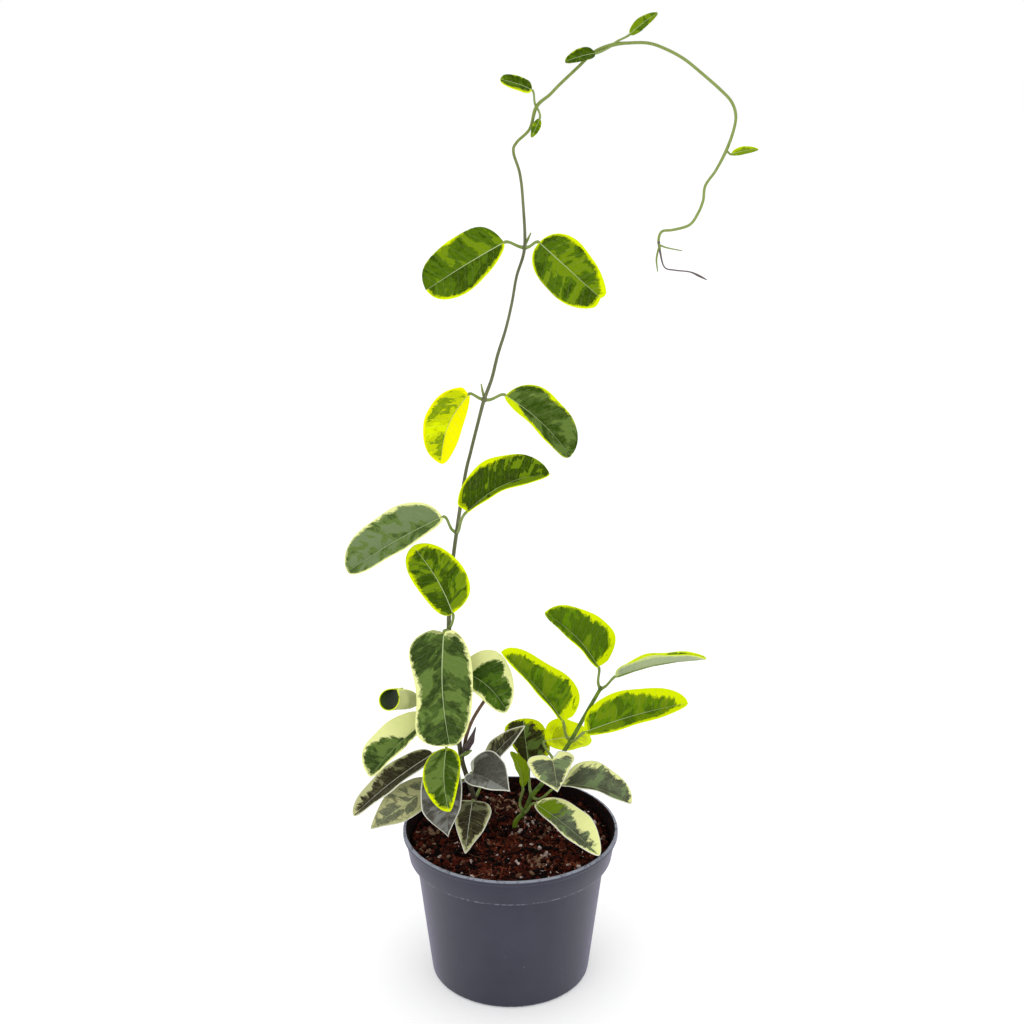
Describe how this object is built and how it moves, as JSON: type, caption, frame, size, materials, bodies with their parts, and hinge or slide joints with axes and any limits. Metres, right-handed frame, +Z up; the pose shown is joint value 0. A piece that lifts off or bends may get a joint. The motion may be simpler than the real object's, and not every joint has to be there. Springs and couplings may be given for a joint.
{
  "type": "potted madagascar jasmine vine",
  "caption": "Variegated climbing vine in a round nursery pot: a tall twining stem with an arching tip, a bushy young stem, oval leaves and soil.",
  "frame": {"origin": "centre of the pot's base, on the surface it stands on", "axes": "+Z up along the pot's axis, -Y towards the plant's front, +X to the right seen from the front"},
  "size_m": [0.263, 0.152, 0.6545],
  "materials": {
    "grey_plastic": "satin",
    "potting_mix": "matte",
    "stem": "satin",
    "green_leaf": "satin",
    "yellow_leaf": "satin",
    "grey_leaf": "satin",
    "dark_leaf": "satin"
  },
  "bodies": {
    "root": {"pot": "grey_plastic", "soil": "potting_mix", "vine_stem": "stem", "bush_stem": "stem", "vine_leaf_5_left": "green_leaf", "vine_leaf_5_right": "green_leaf", "vine_leaf_6_left": "yellow_leaf", "vine_leaf_6_right": "green_leaf", "vine_leaf_7_right": "green_leaf", "vine_leaf_7_left": "green_leaf", "vine_leaf_8_up": "green_leaf", "vine_leaf_8_down": "grey_leaf", "vine_leaf_9_right": "grey_leaf", "vine_leaf_9_rolled": "green_leaf", "vine_leaf_10_left": "grey_leaf", "vine_leaf_10_front": "green_leaf", "vine_leaf_11_left": "dark_leaf", "vine_leaf_11_front": "grey_leaf", "vine_leaf_12_left": "grey_leaf", "vine_leaf_12_right": "dark_leaf", "vine_leaf_13_front": "dark_leaf", "vine_leaf_13_right": "dark_leaf", "bush_leaf_1_left": "green_leaf", "bush_leaf_1_right": "green_leaf", "bush_leaf_2_left": "green_leaf", "bush_leaf_2_right": "green_leaf", "bush_leaf_3_back": "yellow_leaf", "bush_leaf_3_front": "grey_leaf", "bush_leaf_4_back": "dark_leaf", "bush_leaf_4_right": "grey_leaf", "bush_leaf_5_right": "grey_leaf", "bush_leaf_5_left": "yellow_leaf"}
  },
  "joints": []
}
